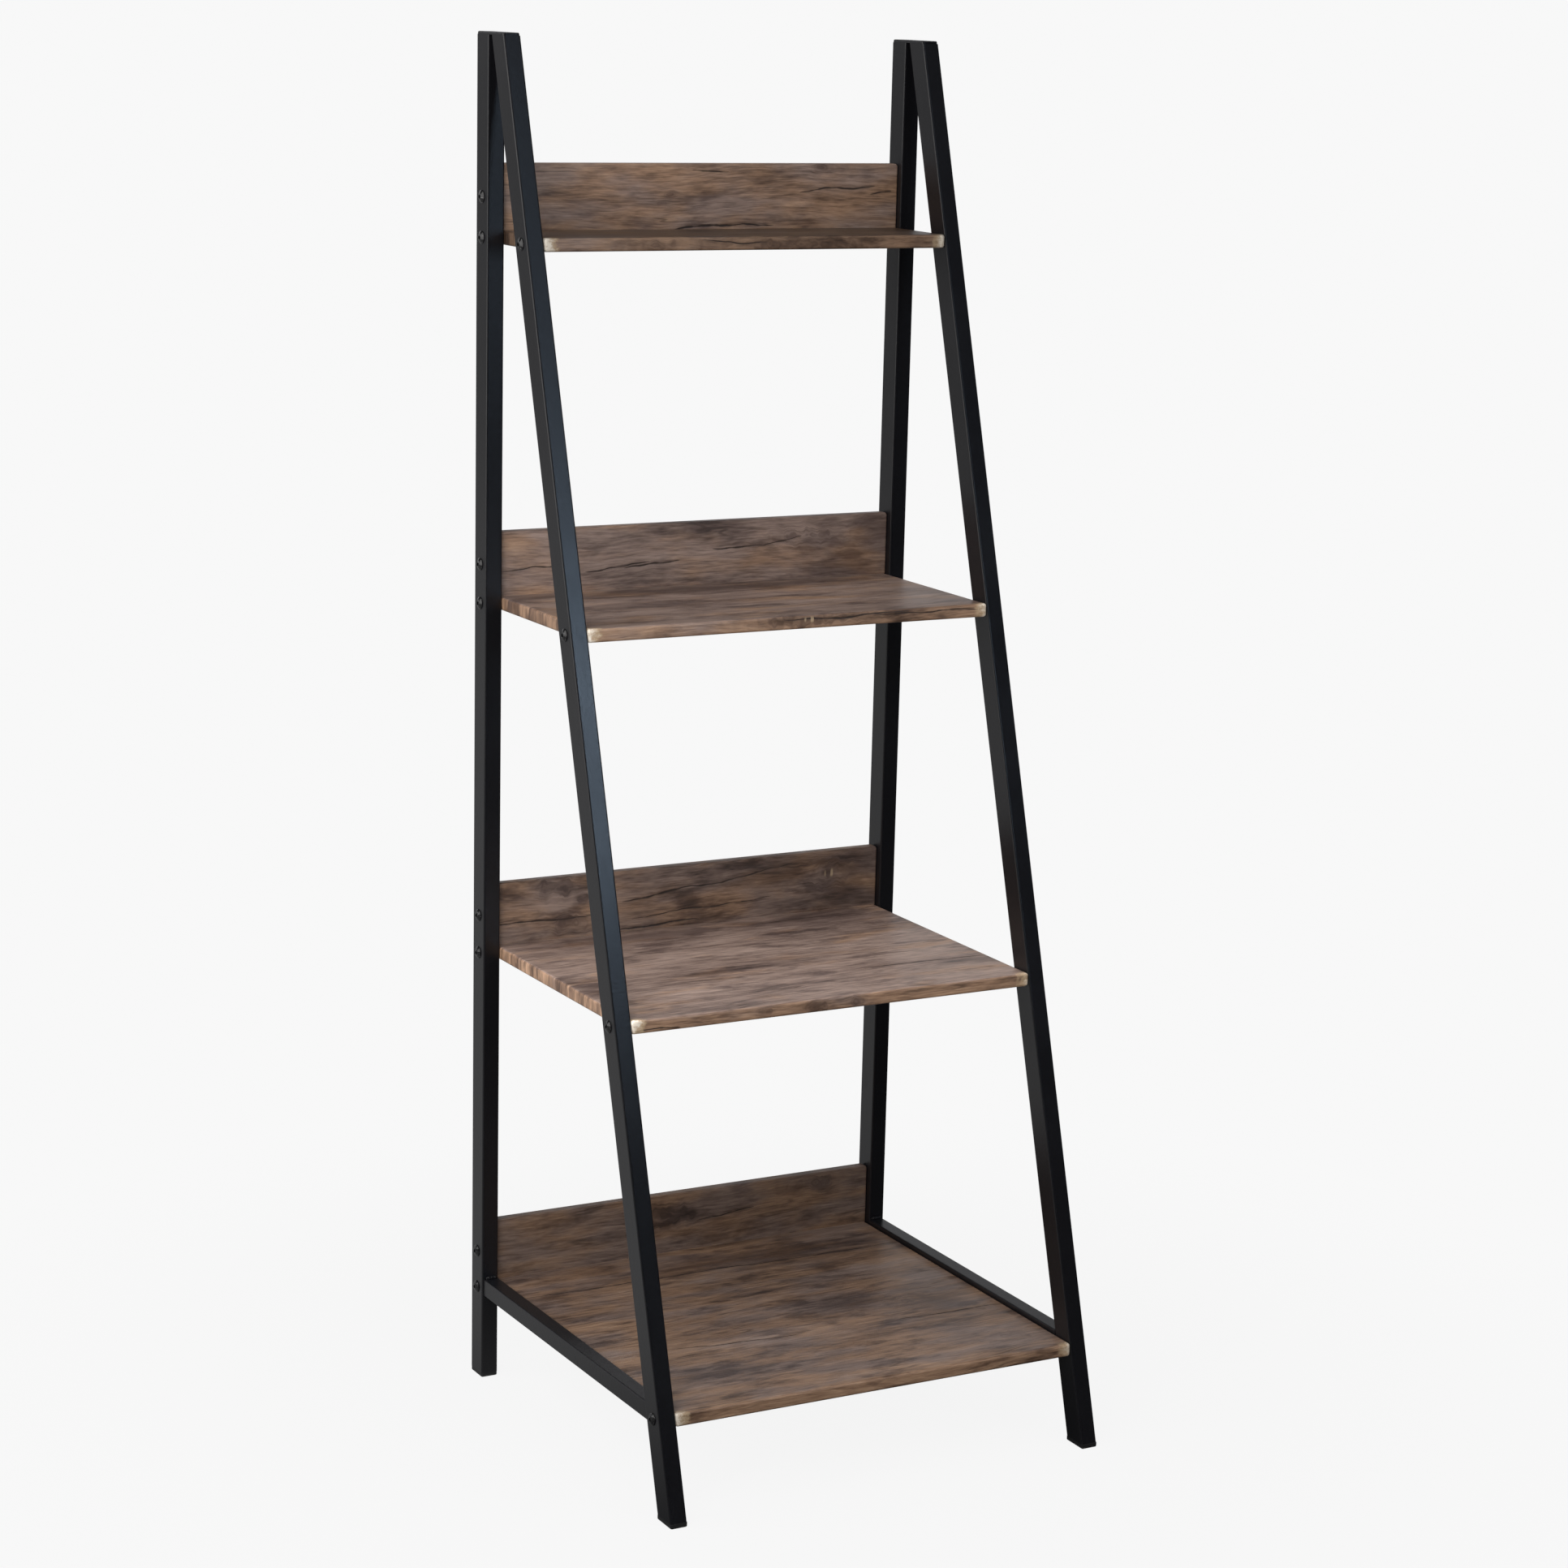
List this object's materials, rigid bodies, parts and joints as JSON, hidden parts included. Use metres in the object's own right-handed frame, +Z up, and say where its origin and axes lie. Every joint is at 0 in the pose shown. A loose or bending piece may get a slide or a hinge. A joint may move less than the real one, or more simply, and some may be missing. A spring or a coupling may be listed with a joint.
{
  "type": "ladder shelf",
  "caption": "Free-standing ladder shelf: black steel tube A-frames carry wood-grain shelves that grow deeper towards the floor, each with a low backboard.",
  "frame": {"origin": "on the floor, under the middle of the outline", "axes": "+X to the right seen from the front, +Y to the rear, +Z up; the open front of the shelves faces -Y"},
  "size_m": [0.5414, 0.518, 1.525],
  "materials": {
    "powder_coated_steel": "fine satin black powder coat",
    "black_plastic": "matte moulded black",
    "wood_grain_board": "weathered brown oak laminate on particle board",
    "black_bolt_steel": "black oxide steel",
    "plated_insert_steel": "zinc plated steel"
  },
  "bodies": {
    "root": {"left_rear_upright": "powder_coated_steel", "left_front_leg": "powder_coated_steel", "left_lower_rail": "powder_coated_steel", "left_top_cap": "powder_coated_steel", "left_frame_welds": "powder_coated_steel", "left_rear_foot": "black_plastic", "left_front_foot": "black_plastic", "right_rear_upright": "powder_coated_steel", "right_front_leg": "powder_coated_steel", "right_lower_rail": "powder_coated_steel", "right_top_cap": "powder_coated_steel", "right_frame_welds": "powder_coated_steel", "right_rear_foot": "black_plastic", "right_front_foot": "black_plastic", "shelf_1": "wood_grain_board", "backboard_1": "wood_grain_board", "tier_1_bolts": "black_bolt_steel", "tier_1_inserts": "plated_insert_steel", "shelf_2": "wood_grain_board", "backboard_2": "wood_grain_board", "tier_2_bolts": "black_bolt_steel", "tier_2_inserts": "plated_insert_steel", "shelf_3": "wood_grain_board", "backboard_3": "wood_grain_board", "tier_3_bolts": "black_bolt_steel", "tier_3_inserts": "plated_insert_steel", "shelf_4": "wood_grain_board", "backboard_4": "wood_grain_board", "tier_4_bolts": "black_bolt_steel", "tier_4_inserts": "plated_insert_steel"}
  },
  "joints": []
}
